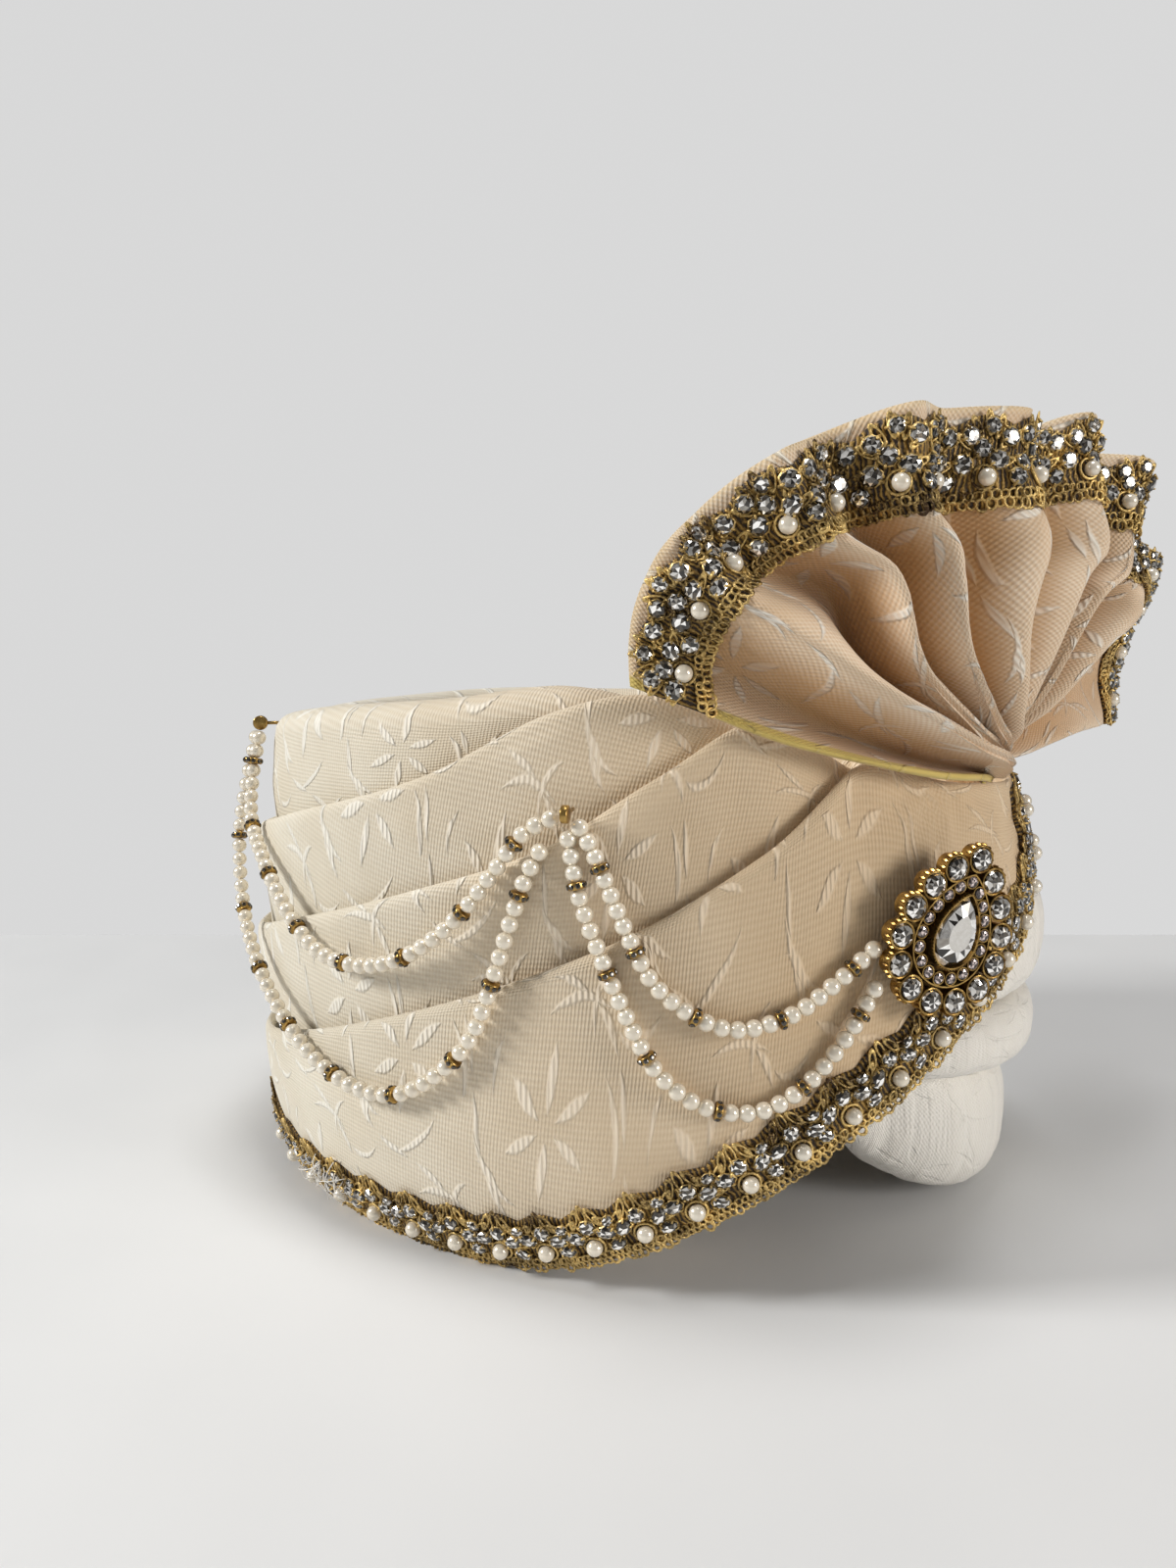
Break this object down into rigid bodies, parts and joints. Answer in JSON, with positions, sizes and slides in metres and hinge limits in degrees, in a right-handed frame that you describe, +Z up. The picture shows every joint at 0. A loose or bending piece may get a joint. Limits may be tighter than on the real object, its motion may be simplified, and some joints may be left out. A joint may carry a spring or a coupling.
{
  "type": "tied turban pagri with a side fan and pear brooch",
  "caption": "Pre-tied cream brocade turban with lapped wraps, pleated side fan, gold lace trim, stone brooch and pearl swags.",
  "frame": {"origin": "centre of the bounding box's footprint, on the surface that the turban rests on", "axes": "+Z up; the turban's front faces -Y and the wearer's right is -X"},
  "size_m": [0.2502, 0.3246, 0.259],
  "materials": {
    "brocade": "cream jacquard brocade with raised satin-stitch leaves",
    "fan_brocade": "peach-cream jacquard, stiffened and knife-pleated",
    "roll_cloth": "off-white padded satin with fine wrinkles",
    "lining": "plain cotton",
    "gold_lace": "antique gold thread lace set with stones and pearls",
    "gold_metal": "antique gold plate",
    "crystal": "foiled cut crystal",
    "pearl": "imitation pearl"
  },
  "bodies": {
    "root": {"head_cap": "lining", "wound_core": "brocade", "wrap_1_rim": "brocade", "wrap_2": "brocade", "wrap_3": "brocade", "wrap_4": "brocade", "front_roll_upper": "roll_cloth", "front_roll_middle": "roll_cloth", "front_roll_lower": "roll_cloth", "edge_trim_right": "gold_lace", "edge_trim_left": "gold_lace", "fan": "fan_brocade", "fan_trim": "gold_lace", "brooch_setting": "gold_metal", "brooch_centre_stone": "crystal", "brooch_stone_1": "crystal", "brooch_stone_2": "crystal", "brooch_stone_3": "crystal", "brooch_stone_4": "crystal", "brooch_stone_5": "crystal", "brooch_stone_6": "crystal", "brooch_stone_7": "crystal", "brooch_stone_8": "crystal", "brooch_stone_9": "crystal", "brooch_stone_10": "crystal", "brooch_stone_11": "crystal", "brooch_stone_12": "crystal", "brooch_stone_13": "crystal", "brooch_stone_14": "crystal", "pearl_strand_front_upper": "pearl", "pearl_strand_front_lower": "pearl", "pearl_strand_back_upper": "pearl", "pearl_strand_back_lower": "pearl", "strand_pin_middle": "gold_metal", "strand_pin_back": "gold_metal"}
  },
  "joints": []
}
